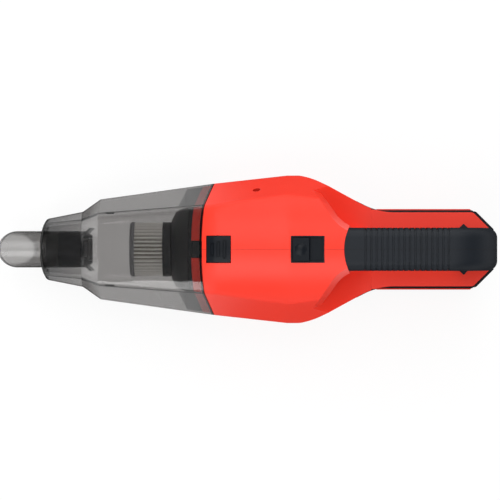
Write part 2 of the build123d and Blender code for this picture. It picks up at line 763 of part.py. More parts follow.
def pack_shell():
    top = SHOE_BOTTOM - GAP
    shell = pack_outline(0, top)
    shell = fillet(shell.edges().filter_by(Axis.Z), 2.5)
    shell = chamfer(shell.faces().sort_by(Axis.Z)[0].edges(), 1.5)
    shell -= Pos(0, 0, PACK_WALL) * pack_outline(PACK_WALL, top - 2 * PACK_WALL)
    half = LATCH_WIDTH / 2
    z0 = 28.0
    return shell - box(PACK_REAR - 6, PACK_REAR + 9, -half, half, z0, z0 + LATCH_HEIGHT)


def battery_base():
    return split(pack_shell(), Plane.XY.offset(PACK_SPLIT), keep=Keep.BOTTOM)


def battery_top():
    """Upper case with the T rail and the slots that take the terminal blades."""
    top = split(pack_shell(), Plane.XY.offset(PACK_SPLIT), keep=Keep.TOP)
    z0 = SHOE_BOTTOM - GAP
    z1 = SHOE_BOTTOM + RAIL_STEP
    z2 = z1 + RAIL_THICK - 2 * GAP
    rail = box(RAIL_FRONT, RAIL_REAR, -RAIL_NECK, RAIL_NECK, z0, z1)
    rail += box(RAIL_FRONT, RAIL_REAR, -RAIL_HEAD, RAIL_HEAD, z1 - GAP, z2)
    z = SHOE_BOTTOM + 7.2
    for y in (-12, -4, 4, 12):
        rail -= box(RAIL_FRONT - 1, RAIL_FRONT + 12, y - 1, y + 1, z - 3, z + 5)
    return top + rail


def battery_trims():
    """Red side panels of the pack."""
    out = PACK_HALF + TRIM_THICK
    ends = [(118, PACK_HALF), (204, PACK_HALF), (204 - TRIM_THICK, out), (118 + TRIM_THICK, out)]
    panel = Pos(0, 0, 9) * extrude(make_face(Polyline(*ends, close=True)), 26)
    return Part() + [panel, mirror(panel, about=Plane.XZ)]


def battery_cells():
    """Ten round cells in two rows, lying across the pack."""
    cells = []
    for z in (PACK_WALL + CELL_RADIUS, PACK_WALL + 3.1 * CELL_RADIUS):
        for i in range(5):
            x = PACK_FRONT + PACK_WALL + 0.4 + CELL_RADIUS + i * CELL_PITCH
            cells.append(crossbar(x, z, CELL_RADIUS, -CELL_LENGTH / 2, CELL_LENGTH / 2))
    return Part() + cells


def cell_straps():
    """Nickel strips joining the cell ends."""
    half = CELL_LENGTH / 2
    front = PACK_FRONT + PACK_WALL + 4
    rear = front + 4.4 * CELL_PITCH
    z = PACK_WALL + CELL_RADIUS
    strips = []
    for y in (-half - 0.25, half):
        strips += [box(front, rear, y, y + 0.25, low - 3, low + 3) for low in (z, z + 2.1 * CELL_RADIUS)]
    return Part() + strips


def battery_latch():
    """Release button in the rear wall of the pack."""
    half = LATCH_WIDTH / 2 - GAP
    z0 = 28.0 + GAP
    z1 = 28.0 + LATCH_HEIGHT - GAP
    button = box(PACK_REAR - 5, PACK_REAR + 0.8, -half, half, z0, z1)
    for i in range(3):
        z = z0 + 2.2 + 2.4 * i
        button -= box(PACK_REAR + 0.1, PACK_REAR + 3, -half + 3, half - 3, z - 0.5, z + 0.5)
    return button


def battery_latch_spring():
    spring = coil(0, 0, 0, 6.4, 2.6, 0.7, 4)
    return Pos(PACK_REAR - 11.4, 0, 33) * Rot(0, 90, 0) * spring


def housing_screws():
    """Identical screws, entered from the right side."""
    screws = []
    for x, z in SCREWS:
        screw = crossbar(x, z, SCREW_RADIUS, 2 - HEAD_DEPTH, HEAD_DEPTH + 1)
        head = crossbar(x, z, HEAD_RADIUS, HEAD_DEPTH, HEAD_DEPTH + 2.4)
        drive = Pos(x, HEAD_DEPTH + 2, z) * (Box(3.6, 2, 0.9) + Box(0.9, 2, 3.6))
        screws.append(screw + head - drive)
    return Part() + screws


os.makedirs("parts", exist_ok=True)

left_shell, right_shell = housing()
left_grip, right_grip = grips()
mount_front = SHROUD_REAR + 7
mount_rear = SHROUD_REAR + CAN_LENGTH - 12
can_rear = SHROUD_REAR + CAN_LENGTH

nodes = {
    "housing_left": left_shell,
    "housing_right": right_shell,
    "grip_left": left_grip,
    "grip_right": right_grip,
    "dust_cup": dust_cup(),
    "inlet_spout": inlet_spout(),
    "intake_duct": intake_duct(),
    "flap_valve": flap_valve(),
    "flap_pin": flap_pin(),
    "filter_frame": filter_frame(),
    "cup_seal": cup_seal(),
    "filter_pleats": filter_pleats(),
    "filter_cap": filter_cap(),
    "filter_collar": filter_collar(),
    "release_button": release_button(),
    "release_spring": release_spring(),
    "switch_bezel": switch_bezel(),
    "switch_slider": switch_slider(),
    "switch_module": switch_module(),
    "fan_shroud": fan_shroud(),
    "impeller": impeller(),
    "motor_can": motor_can(),
    "motor_cap": motor_cap(),
    "motor_magnets": motor_magnets(),
    "armature": armature(),
    "motor_shaft": motor_shaft(),
    "front_bearing": bearing(SHROUD_REAR - 2, SHROUD_REAR + 2),
    "rear_bearing": bearing(can_rear, can_rear + 4),
    "motor_mount_front": motor_mount(mount_front),
    "motor_mount_rear": motor_mount(mount_rear),
    "battery_shoe": battery_shoe(),
    "terminal_block": terminal_block(),
    "terminal_blades": terminal_blades(),
    "control_board": control_board(),
    "motor_leads": motor_leads(),
    "battery_base": battery_base(),
    "battery_top": battery_top(),
    "battery_trims": battery_trims(),
    "battery_cells": battery_cells(),
    "cell_straps": cell_straps(),
    "battery_latch": battery_latch(),
    "battery_latch_spring": battery_latch_spring(),
    "housing_screws": housing_screws(),
}
for name, solid in nodes.items():
    export_step(solid, f"parts/{name}.step")
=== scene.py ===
# %% [markdown]
# # A handheld vacuum, dressed for its photograph
# The solids come from the CAD model: every piece already has its real size and sits on its own moving
# body. This lesson gives each piece its finish, softens the shells, copies the button springs onto their
# bodies, folds the filter paper with Geometry Nodes, and sets up a plain studio with the camera straight
# above.

# %% Load the frame
import bpy
import bmesh
import json
import math
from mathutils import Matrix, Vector


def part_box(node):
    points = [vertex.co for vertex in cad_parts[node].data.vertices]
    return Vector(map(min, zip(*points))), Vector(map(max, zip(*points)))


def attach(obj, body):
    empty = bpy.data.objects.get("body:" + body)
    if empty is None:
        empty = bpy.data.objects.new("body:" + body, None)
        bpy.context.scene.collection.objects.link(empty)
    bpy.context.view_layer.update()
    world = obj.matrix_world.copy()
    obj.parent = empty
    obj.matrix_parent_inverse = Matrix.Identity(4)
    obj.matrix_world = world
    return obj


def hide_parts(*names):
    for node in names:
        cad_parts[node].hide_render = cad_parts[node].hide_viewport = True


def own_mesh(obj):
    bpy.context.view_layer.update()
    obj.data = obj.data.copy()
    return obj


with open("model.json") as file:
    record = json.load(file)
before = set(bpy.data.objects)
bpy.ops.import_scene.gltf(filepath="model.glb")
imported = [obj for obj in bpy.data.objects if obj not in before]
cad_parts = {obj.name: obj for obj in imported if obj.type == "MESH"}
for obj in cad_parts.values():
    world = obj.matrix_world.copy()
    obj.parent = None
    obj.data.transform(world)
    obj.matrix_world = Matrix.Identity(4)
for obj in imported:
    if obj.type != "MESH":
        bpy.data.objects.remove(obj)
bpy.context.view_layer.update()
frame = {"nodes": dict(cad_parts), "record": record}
nodes = frame["nodes"]
MM = 0.001

# %% [markdown]
# ## Two helpers
# A colour is written as the eye reads it, as an sRGB hex value, and the shader needs it linear. The second
# helper adds one shader or geometry node, sets its properties and input values, and makes its links.


# %% Colour and node helpers
def linear(text):
    parts = [int(text[i:i + 2], 16) / 255 for i in (1, 3, 5)]
    return tuple(p / 12.92 if p <= 0.04045 else ((p + 0.055) / 1.055) ** 2.4 for p in parts) + (1.0,)


def add(tree, kind, values=None, links=None, **settings):
    node = tree.nodes.new(kind)
    for name, value in settings.items():
        setattr(node, name, value)
    for name, value in (values or {}).items():
        node.inputs[name].default_value = value
    for name, source in (links or {}).items():
        tree.links.new(source, node.inputs[name])
    return node


RED = ("#E62A14", "#EC321C")
print("red reads", [round(c, 3) for c in linear(RED[0])])

# %% [markdown]
# ## Moulded plastics and rubber
# The shells are ABS from a spark-eroded tool: a fine grain, about half a millimetre across, breaks up
# the highlight. The same recipe with another colour, grain and roughness gives the black polypropylene
# parts and the soft grip. The grain is drawn a little coarser than life so that it shows in the picture.
# Shells that meet on the centreline also get the dark hairline of their parting.


# %% Moulded surface recipe
CLOUD = 60 * MM
HAIRLINE = 0.16 * MM
EDGE_ROUND = 0.4 * MM
GRAIN_HEIGHT = 0.05 * MM
WHITE = (1, 1, 1, 1)


def moulded(name, tones, rough, grain_mm, depth, seam=None, shine=0.3):
    mat = bpy.data.materials.new(name)
    mat.use_nodes = True
    tree = mat.node_tree
    shader = tree.nodes["Principled BSDF"]
    place = add(tree, "ShaderNodeTexCoord")
    cloud = add(tree, "ShaderNodeTexNoise", {"Scale": 1 / CLOUD, "Detail": 3.0},
                {"Vector": place.outputs["Object"]})
    tone = add(tree, "ShaderNodeMix", {"A": linear(tones[0]), "B": linear(tones[1])}, data_type="RGBA")
    tree.links.new(cloud.outputs["Fac"], tone.inputs["Factor"])
    colour = tone.outputs["Result"]
    if seam:
        parts = add(tree, "ShaderNodeSeparateXYZ", links={"Vector": place.outputs["Object"]})
        away = add(tree, "ShaderNodeMath", links={0: parts.outputs["Y"]}, operation="ABSOLUTE")
        line = add(tree, "ShaderNodeMath", {1: HAIRLINE}, {0: away.outputs[0]}, operation="LESS_THAN")
        joint = add(tree, "ShaderNodeMix", {"B": linear(seam)}, {"A": colour}, data_type="RGBA")
        tree.links.new(line.outputs[0], joint.inputs["Factor"])
        colour = joint.outputs["Result"]
    tree.links.new(colour, shader.inputs["Base Color"])
    grain = add(tree, "ShaderNodeTexNoise", {"Scale": 1 / (grain_mm * MM), "Detail": 2.0},
                {"Vector": place.outputs["Object"]})
    edge = add(tree, "ShaderNodeBevel", {"Radius": EDGE_ROUND}, samples=4)
    bump = add(tree, "ShaderNodeBump", {"Strength": depth, "Distance": GRAIN_HEIGHT},
               {"Height": grain.outputs["Fac"], "Normal": edge.outputs["Normal"]})
    tree.links.new(bump.outputs["Normal"], shader.inputs["Normal"])
    shader.inputs["Roughness"].default_value = rough
    shader.inputs["IOR"].default_value = 1.5
    shader.inputs["Specular IOR Level"].default_value = shine
    return mat


# %% Moulded materials
red_abs = moulded("Red ABS, fine eroded grain", RED, 0.42, 0.6, 0.25, "#8E1A10", 0.33)
black_pp = moulded("Black polypropylene, matt moulded", ("#080C12", "#0E141B"), 0.42, 0.8, 0.3, shine=0.18)
grip_tpe = moulded("Soft black TPE grip", ("#0B1016", "#121922"), 0.55, 1.0, 0.4, "#050607", 0.26)
soft_seal = moulded("Black silicone rubber", ("#16181A", "#1E2022"), 0.55, 1.2, 0.2)
fan_nylon = moulded("Pale glass-filled nylon", ("#C9C8C2", "#D6D5D0"), 0.55, 0.8, 0.3)
board_mask = moulded("Green solder mask on board", ("#0F5A30", "#14693A"), 0.35, 2.0, 0.1)
cell_sleeve = moulded("Blue PVC cell sleeve", ("#2A5C9C", "#3266A8"), 0.3, 3.0, 0.1)
grey_pp = moulded("Grey polypropylene, matt moulded", ("#737477", "#808184"), 0.5, 0.8, 0.3)
print("moulded:", [m.name for m in (red_abs, black_pp, grip_tpe, soft_seal, fan_nylon, grey_pp)])

# %% [markdown]
# ## Metals
# Turned and rolled steel shows fine lines along the way it was worked. A noise that is stretched along X,
# 25 mm long and about 1 mm wide, gives that, with a metal's full reflection.


# %% Worked metal recipe
LINES_PER_METRE = (40, 900, 900)


def worked_metal(name, dark, light, rough):
    mat = bpy.data.materials.new(name)
    mat.use_nodes = True
    tree = mat.node_tree
    shader = tree.nodes["Principled BSDF"]
    place = add(tree, "ShaderNodeTexCoord")
    stretch = add(tree, "ShaderNodeMapping", {"Scale": LINES_PER_METRE}, {"Vector": place.outputs["Object"]})
    lines = add(tree, "ShaderNodeTexNoise", {"Scale": 1.0, "Detail": 4.0},
                {"Vector": stretch.outputs["Vector"]})
    tone = add(tree, "ShaderNodeMix", {"A": linear(dark), "B": linear(light)}, data_type="RGBA")
    tree.links.new(lines.outputs["Fac"], tone.inputs["Factor"])
    tree.links.new(tone.outputs["Result"], shader.inputs["Base Color"])
    shader.inputs["Metallic"].default_value = 1.0
    shader.inputs["Roughness"].default_value = rough
    return mat


steel = worked_metal("Rolled bright steel", "#9A9CA0", "#C4C6CA", 0.32)
copper = worked_metal("Tinned copper", "#B07A50", "#D09A6C", 0.3)
magnet = worked_metal("Sintered ferrite", "#3A3A3C", "#4A4A4C", 0.6)
print("metals:", [m.name for m in (steel, copper, magnet)])

# %% [markdown]
# ## Smoke-clear polycarbonate
# The cup and spout are tinted through their whole thickness, so a wall seen edge-on looks nearly black
# while a wall seen square-on passes half the light. A tint in the volume does that by itself: the light
# that is left falls with the length of its way through the wall. The spout is satin and a little darker.


# %% Smoke polycarbonate
CUP_TINT = 305.0
SPOUT_TINT = 365.0
HAZE = 25 * MM


def smoke_plastic(name, smooth, dull, tint_per_metre):
    mat = bpy.data.materials.new(name)
    mat.use_nodes = True
    tree = mat.node_tree
    shader = tree.nodes["Principled BSDF"]
    shader.inputs["Base Color"].default_value = WHITE
    shader.inputs["Transmission Weight"].default_value = 1.0
    shader.inputs["IOR"].default_value = 1.5
    place = add(tree, "ShaderNodeTexCoord")
    haze = add(tree, "ShaderNodeTexNoise", {"Scale": 1 / HAZE, "Detail": 2.0},
               {"Vector": place.outputs["Object"]})
    gloss = add(tree, "ShaderNodeMapRange", {"To Min": smooth, "To Max": dull},
                {"Value": haze.outputs["Fac"]})
    tree.links.new(gloss.outputs["Result"], shader.inputs["Roughness"])
    tint = add(tree, "ShaderNodeVolumeAbsorption",
               {"Color": linear("#4E4036"), "Density": tint_per_metre})
    tree.links.new(tint.outputs["Volume"], tree.nodes["Material Output"].inputs["Volume"])
    return mat


smoke = smoke_plastic("Smoke polycarbonate, polished", 0.03, 0.08, CUP_TINT)
satin_smoke = smoke_plastic("Smoke polycarbonate, satin", 0.22, 0.30, SPOUT_TINT)
print("smoke wall of 2.2 mm passes", round(math.exp(-CUP_TINT * 2.2 * MM), 2))

# %% [markdown]
# ## Dark lines of the cup
# Along the nose lip and along the rim at the seam the colour is painted black: painted shade that stands for
# the long way of the light through the plastic at the lip and for the shade in the seam. Towards the nose the
# wall colour is painted darker, also as painted shade. These zones are cut out of the object's own
# coordinates:
# the lip lies outside a bow round an upright axis, the rim lies close to the tilted plane of the seam.

# %% Lip, nose and rim
NOSE_AXIS = (-108 * MM, 0, 0)
NOSE_BOW = 75 * MM
NOSE_WALL = 2.3 * MM
NOSE_END = -165 * MM
NOSE_FADE = (-172 * MM, -138 * MM)
NOSE_SHADE_TONE = (0.74, 0.75, 0.76, 1)
SEAM_START = (-26 * MM, 0, 57 * MM)
SEAM_TILT = math.radians(10)
SEAM_WAY = (-math.cos(SEAM_TILT), 0, -math.sin(SEAM_TILT))
RIM_WIDE = 2.3 * MM
tree = smoke.node_tree
place = add(tree, "ShaderNodeTexCoord")
parts = add(tree, "ShaderNodeSeparateXYZ", links={"Vector": place.outputs["Object"]})
level = add(tree, "ShaderNodeVectorMath", {1: (1, 1, 0)}, {0: place.outputs["Object"]}, operation="MULTIPLY")
reach = add(tree, "ShaderNodeVectorMath", {1: NOSE_AXIS}, {0: level.outputs[0]}, operation="DISTANCE")
at_wall = add(tree, "ShaderNodeMath", {1: NOSE_BOW - NOSE_WALL}, {0: reach.outputs["Value"]},
              operation="GREATER_THAN")
at_nose = add(tree, "ShaderNodeMath", {1: NOSE_END}, {0: parts.outputs["X"]}, operation="LESS_THAN")
lip = add(tree, "ShaderNodeMath", links={0: at_wall.outputs[0], 1: at_nose.outputs[0]}, operation="MULTIPLY")
from_seam = add(tree, "ShaderNodeVectorMath", {1: SEAM_START}, {0: place.outputs["Object"]},
                operation="SUBTRACT")
depth = add(tree, "ShaderNodeVectorMath", {1: SEAM_WAY}, {0: from_seam.outputs[0]}, operation="DOT_PRODUCT")
rim = add(tree, "ShaderNodeMath", {1: RIM_WIDE}, {0: depth.outputs["Value"]}, operation="LESS_THAN")
# painted shade: the lip and the rim at the seam are painted black
black = add(tree, "ShaderNodeMath", links={0: lip.outputs[0], 1: rim.outputs[0]}, operation="MAXIMUM")
# painted shade: the wall colour grows darker towards the nose
nose_shade_ramp = add(tree, "ShaderNodeMapRange", {"From Min": NOSE_FADE[0], "From Max": NOSE_FADE[1]},
             {"Value": parts.outputs["X"]})
wall = add(tree, "ShaderNodeMix", {"A": NOSE_SHADE_TONE, "B": WHITE}, data_type="RGBA")
tree.links.new(nose_shade_ramp.outputs["Result"], wall.inputs["Factor"])
clear = add(tree, "ShaderNodeMix", {"B": linear("#1A1D20")}, {"A": wall.outputs["Result"]}, data_type="RGBA")
tree.links.new(black.outputs[0], clear.inputs["Factor"])
tree.links.new(clear.outputs["Result"], tree.nodes["Principled BSDF"].inputs["Base Color"])
print("cup lip and rim", round(NOSE_WALL / MM, 1), "and", round(RIM_WIDE / MM, 1), "mm wide")

# %% [markdown]
# ## Filter paper
# Pleated paper is off-white cellulose. Shade is painted into the valleys: the colour follows the distance
# from the filter's axis, dark at the roots of the folds as painted shade, pale at the crests.

# %% Filter paper
FOLD_DEPTH = 4.0 * MM
CREST = 0.4 * MM
low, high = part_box("filter_pleats")
axis_z = (low[2] + high[2]) / 2
outer = (high[1] - low[1]) / 2
paper = moulded("Pleated cellulose filter paper", ("#EFEDE8", "#FCFBF8"), 0.9, 0.7, 0.6, shine=0.2)
tree = paper.node_tree
shader = tree.nodes["Principled BSDF"]
place = add(tree, "ShaderNodeTexCoord")
level = add(tree, "ShaderNodeVectorMath", {1: (0, 1, 1)}, {0: place.outputs["Object"]}, operation="MULTIPLY")
away = add(tree, "ShaderNodeVectorMath", {1: (0, 0, axis_z)}, {0: level.outputs[0]}, operation="DISTANCE")
# painted shade: the colour darkens from the crests down to the roots of the folds
fold_shade_ramp = add(tree, "ShaderNodeMapRange", {"From Min": outer - FOLD_DEPTH, "From Max": outer - CREST},
            {"Value": away.outputs["Value"]})
shade = add(tree, "ShaderNodeMix", {"A": linear("#8A857C")}, data_type="RGBA")
tree.links.new(shader.inputs["Base Color"].links[0].from_socket, shade.inputs["B"])
tree.links.new(fold_shade_ramp.outputs["Result"], shade.inputs["Factor"])
tree.links.new(shade.outputs["Result"], shader.inputs["Base Color"])
print("paper:", paper.name, "on an axis", round(axis_z / MM, 1), "mm up")

# %% [markdown]
# ## Give every solid its finish
# The record already says which slot each piece takes, so the finish follows that list. The filter's cap is
# grey and the spout satin, unlike the other pieces of their slots.

# %% Dress the solids
finish_of = {"red_plastic": red_abs, "black_plastic": black_pp, "grip_rubber": grip_tpe,
             "smoke_clear": smoke, "filter_paper": paper, "soft_rubber": soft_seal, "steel": steel,
             "copper": copper, "magnet": magnet, "fan_plastic": fan_nylon, "board": board_mask,
             "cell_wrap": cell_sleeve}
for part in frame["record"]["subparts"]:
    mesh = nodes[part["node"]].data
    mesh.materials.clear()
    mesh.materials.append(finish_of[part["material_slot"]])
nodes["filter_cap"].data.materials[0] = grey_pp
nodes["inlet_spout"].data.materials[0] = satin_smoke

# %% [markdown]
# ## Soft shoulders on the shells
# The shells are lofted from station to station, so the crown breaks by a few degrees at each station. A
# moulded shell flows over those lines. A copy of each shell, and of the button that continues it, shades
# every break under 16 degrees smooth and stands in for the solid; real edges stay sharp.


# %% Shells that flow from station to station
SOFT_BREAK = math.radians(16)
WELD = 0.001 * MM


def stand_in(node, mesh, body):
    piece = bpy.data.objects.new("soft_" + node, mesh)
    bpy.context.scene.collection.objects.link(piece)
    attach(piece, body)
    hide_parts(node)
    return piece


def soft_copy(node, body):
    mesh = nodes[node].data.copy()
    mesh.name = "Soft " + node
    if "custom_normal" in mesh.attributes:
        mesh.attributes.remove(mesh.attributes["custom_normal"])
    welded = bmesh.new()
    welded.from_mesh(mesh)
    bmesh.ops.remove_doubles(welded, verts=welded.verts, dist=WELD)
    welded.to_mesh(mesh)
    welded.free()
    mesh.shade_smooth()
    mesh.set_sharp_from_angle(angle=SOFT_BREAK)
    return stand_in(node, mesh, body)


soft_copy("release_button", "release")
shells = [soft_copy("housing_" + side, "housing") for side in ("left", "right")]
print("soft copies of", len(shells), "shells and the release button")

# %% [markdown]
# ## Polished bevel and painted shade in the recesses
# The bevel round the rear shoulder is polished in the tool, more and more towards the handle, so it mirrors
# the room as a paler band. The screw recesses are deep and get a duller, darker red: painted shade in the
# recesses. Both are picked out of the shells by where their faces lie and look.

# %% Faces with another finish and with painted shade
BEVEL_ABOVE = 70 * MM
BEVEL_FADE = (64 * MM, 84 * MM)
RECESS_RADIUS = 3.3 * MM
SCREWS_MM = ((10.8, 86.0), (8.0, 10.0), (66.0, 14.0), (112.0, 68.5), (194.0, 67.0))
bevel_red = moulded("Red ABS, polished bevel", RED, 0.42, 0.6, 0.05, shine=0.4)
# painted shade: the faces inside the screw recesses get a darker red
recess_shade_red = moulded("Red ABS, painted shade in deep recess", ("#B0180C", "#BA1E10"), 0.6, 0.6, 0.25, shine=0.1)
tree = bevel_red.node_tree
gloss = tree.nodes["Principled BSDF"].inputs
gloss["Coat IOR"].default_value = 1.9
gloss["Coat Roughness"].default_value = 0.2
place = add(tree, "ShaderNodeTexCoord")
parts = add(tree, "ShaderNodeSeparateXYZ", links={"Vector": place.outputs["Object"]})
polish = add(tree, "ShaderNodeMapRange", {"From Min": BEVEL_FADE[0], "From Max": BEVEL_FADE[1]},
             {"Value": parts.outputs["X"]}, interpolation_type="SMOOTHSTEP")
tree.links.new(polish.outputs["Result"], gloss["Coat Weight"])


def on_bevel(face):
    out = face.normal
    outward = out.y * face.center.y > 0 and abs(out.y) > 0.25
    return outward and out.x > 0.1 and 0.1 < out.z < 0.9 and face.center.z > BEVEL_ABOVE


def in_recess(face):
    near = min(math.hypot(face.center.x - x * MM, face.center.z - z * MM) for x, z in SCREWS_MM)
    return near < 1.02 * RECESS_RADIUS and abs(face.normal.y) < 0.05


for shell in shells:
    mesh = shell.data
    mesh.materials.append(bevel_red)
    mesh.materials.append(recess_shade_red)
    for face in mesh.polygons:
        face.material_index = 1 if on_bevel(face) else 2 if in_recess(face) else 0
    counts = [sum(face.material_index == i for face in mesh.polygons) for i in range(3)]
    print(shell.name, "has", counts, "faces plain, on the bevel and in screw recesses")

# %% [markdown]
# ## Button springs
# Each button stands on a coil spring. Each spring is a copy of its solid that rides on one body: the
# release spring on the housing and the latch spring on the battery.


# %% Button springs
def button_spring(node, body):
    piece = stand_in(node, nodes[node].data.copy(), body)
    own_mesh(piece)


button_spring("release_spring", "housing")
button_spring("battery_latch_spring", "battery")

# %% [markdown]
# ## Ribs in the cup
# Two short ribs hang under the crown of the cup, in front of the filter and to its sides. Seen along their
# depth they look dark. Each is a block whose top follows the rise of the crown.

# %% Cup ribs
RIB_SIDE = 31 * MM
RIB_THICK = 1.4 * MM
RIB_ENDS = ((-122 * MM, 78.2 * MM), (-114 * MM, 80.7 * MM))
RIB_DEPTH = 6 * MM
BLOCK = ((0, 1, 3, 2), (4, 6, 7, 5), (0, 4, 5, 1), (2, 3, 7, 6), (0, 2, 6, 4), (1, 5, 7, 3))
corners = []
quads = []
for y in (-RIB_SIDE, RIB_SIDE):
    first = len(corners)
    for x, top in RIB_ENDS:
        for z in (top - RIB_DEPTH, top):
            corners += [(x, y - RIB_THICK / 2, z), (x, y + RIB_THICK / 2, z)]
    quads += [[first + i for i in face] for face in BLOCK]
rib_mesh = bpy.data.meshes.new("Cup ribs")
rib_mesh.from_pydata(corners, [], quads)
rib_mesh.materials.append(smoke)
ribs = bpy.data.objects.new("cup_ribs", rib_mesh)
bpy.context.scene.collection.objects.link(ribs)
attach(ribs, "cup")
print("cup ribs:", len(quads), "faces")

# %% [markdown]
# ## Pleats by rule
# A filter of this kind is one strip of paper folded into equal pleats and closed to a ring. One fold is a
# thin V of paper. A Geometry Nodes tree turns copies of it round the filter's axis, with the number of
# pleats and the paper as its inputs.


# %% One fold
PLEATS = 40
PAPER_THICK = 0.7 * MM
CREST_SHARE = 0.12


def fold_mesh(name, pleats, radius, depth, thick, x0, x1):
    """One pleat as a folded strip of paper at the top of the ring, closed all round."""
    step = math.pi / pleats
    crest = CREST_SHARE * step
    profile = []
    for turn, size in ((-step, radius - depth), (-crest, radius), (crest, radius), (step, radius - depth)):
        profile.append((size * math.sin(turn), size * math.cos(turn)))
    inside = [(y, z - thick) for y, z in profile]
    ring = profile + inside[::-1]
    verts = [(x, y, z) for x in (x0, x1) for y, z in ring]
    n = len(ring)
    faces = [(i, (i + 1) % n, n + (i + 1) % n, n + i) for i in range(n)]
    faces += [(0, 1, 6, 7), (1, 2, 5, 6), (2, 3, 4, 5)]
    faces += [(n + 7, n + 6, n + 1, n), (n + 6, n + 5, n + 2, n + 1), (n + 5, n + 4, n + 3, n + 2)]
    mesh = bpy.data.meshes.new(name)
    mesh.from_pydata(verts, [], [tuple(reversed(f)) for f in faces])
    mesh.update()
    return mesh


fold = fold_mesh("Paper fold", PLEATS, outer, FOLD_DEPTH, PAPER_THICK, low[0], high[0])
ring = bpy.data.objects.new("pleated_paper", fold)
bpy.context.scene.collection.objects.link(ring)
print("one fold:", len(fold.polygons), "faces")

# %% Pleat ring tree
tree = bpy.data.node_groups.new("Pleat ring", "GeometryNodeTree")
tree.interface.new_socket("Geometry", in_out="INPUT", socket_type="NodeSocketGeometry")
count_in = tree.interface.new_socket("Pleats", in_out="INPUT", socket_type="NodeSocketInt")
paper_in = tree.interface.new_socket("Paper", in_out="INPUT", socket_type="NodeSocketMaterial")
tree.interface.new_socket("Geometry", in_out="OUTPUT", socket_type="NodeSocketGeometry")
start = add(tree, "NodeGroupInput")
points = add(tree, "GeometryNodeMeshLine", {"Offset": (0, 0, 0)}, {"Count": start.outputs["Pleats"]})
index = add(tree, "GeometryNodeInputIndex")
share = add(tree, "ShaderNodeMath", links={0: index.outputs[0], 1: start.outputs["Pleats"]},
            operation="DIVIDE")
turn = add(tree, "ShaderNodeMath", {1: 2 * math.pi}, {0: share.outputs[0]}, operation="MULTIPLY")
spin = add(tree, "ShaderNodeCombineXYZ", links={"X": turn.outputs[0]})
copies = add(tree, "GeometryNodeInstanceOnPoints", links={
    "Points": points.outputs[0], "Instance": start.outputs["Geometry"], "Rotation": spin.outputs[0]})
solid = add(tree, "GeometryNodeRealizeInstances", links={"Geometry": copies.outputs[0]})
lift = add(tree, "GeometryNodeTransform", {"Translation": (0, 0, axis_z)}, {"Geometry": solid.outputs[0]})
dressed = add(tree, "GeometryNodeSetMaterial", links={
    "Geometry": lift.outputs[0], "Material": start.outputs["Paper"]})
add(tree, "NodeGroupOutput", links={"Geometry": dressed.outputs[0]})
print("pleat tree:", len(tree.nodes), "nodes")

# %% Fold the paper and bake it
maker = ring.modifiers.new("Pleats", "NODES")
maker.node_group = tree
maker[count_in.identifier] = PLEATS
maker[paper_in.identifier] = paper
bpy.context.view_layer.update()
baked = bpy.data.meshes.new_from_object(ring.evaluated_get(bpy.context.evaluated_depsgraph_get()))
ring.modifiers.remove(maker)
ring.data = baked
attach(ring, "filter")
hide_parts("filter_pleats")
print("pleated paper:", len(baked.polygons), "faces")

# %% [markdown]
# ## Studio floor
# A product on white. The camera sees a white floor, directly and through the clear cup, that keeps a trace
# of the shadow. What the glossy plastic mirrors is another matter: the floor is dark there near the vacuum,
# so that edges stand out, and white further away and on a card on either side of the cup. From below the
# floor is clear, so the underside can be looked at.

# %% Floor
FLOOR_REACH = 4.0
FLOOR_DROP = 0.4 * MM
FLOOR_GLOW = 0.87
CARD_REAR = (-60 * MM, 0)
CARD_SIDE = (88 * MM, 104 * MM)
CARD_SPLAY = -0.2
FAR_FLOOR = (0.35, 0.6)
NEAR_SHARE = 0.05
square = [(x * FLOOR_REACH, y * FLOOR_REACH, 0) for x, y in ((-1, -1), (1, -1), (1, 1), (-1, 1))]
floor_mesh = bpy.data.meshes.new("Floor")
floor_mesh.from_pydata(square, [], [(0, 1, 2, 3)])
floor = bpy.data.objects.new("Floor", floor_mesh)
floor.location.z = -FLOOR_DROP
bpy.context.scene.collection.objects.link(floor)
pale = bpy.data.materials.new("Pale studio floor")
pale.use_nodes = True
tree = pale.node_tree
tree.nodes.remove(tree.nodes["Principled BSDF"])
rays = add(tree, "ShaderNodeLightPath")
seen = add(tree, "ShaderNodeMath", operation="MAXIMUM",
           links={0: rays.outputs["Is Camera Ray"], 1: rays.outputs["Is Transmission Ray"]})
spot = add(tree, "ShaderNodeTexCoord")
parts = add(tree, "ShaderNodeSeparateXYZ", links={"Vector": spot.outputs["Object"]})
ahead = add(tree, "ShaderNodeMapRange", {"From Min": CARD_REAR[0], "From Max": CARD_REAR[1], "To Min": 1.0,
                                         "To Max": 0.0}, {"Value": parts.outputs["X"]})
aside = add(tree, "ShaderNodeMath", links={0: parts.outputs["Y"]}, operation="ABSOLUTE")
beside = add(tree, "ShaderNodeMath", {1: CARD_SPLAY}, {0: parts.outputs["X"], 2: aside.outputs[0]},
             operation="MULTIPLY_ADD")
clear_of = add(tree, "ShaderNodeMapRange", {"From Min": CARD_SIDE[0], "From Max": CARD_SIDE[1]},
               {"Value": beside.outputs[0]})
card = add(tree, "ShaderNodeMath", links={0: ahead.outputs["Result"], 1: clear_of.outputs["Result"]},
           operation="MULTIPLY")
reach = add(tree, "ShaderNodeVectorMath", links={0: spot.outputs["Object"]}, operation="LENGTH")
far = add(tree, "ShaderNodeMapRange", {"From Min": FAR_FLOOR[0], "From Max": FAR_FLOOR[1],
                                       "To Min": NEAR_SHARE, "To Max": 1.0}, {"Value": reach.outputs["Value"]})
bright = add(tree, "ShaderNodeMath", links={0: card.outputs[0], 1: far.outputs["Result"]},
             operation="MAXIMUM")
mirrored = add(tree, "ShaderNodeMath", operation="MULTIPLY",
               links={0: rays.outputs["Is Glossy Ray"], 1: bright.outputs[0]})
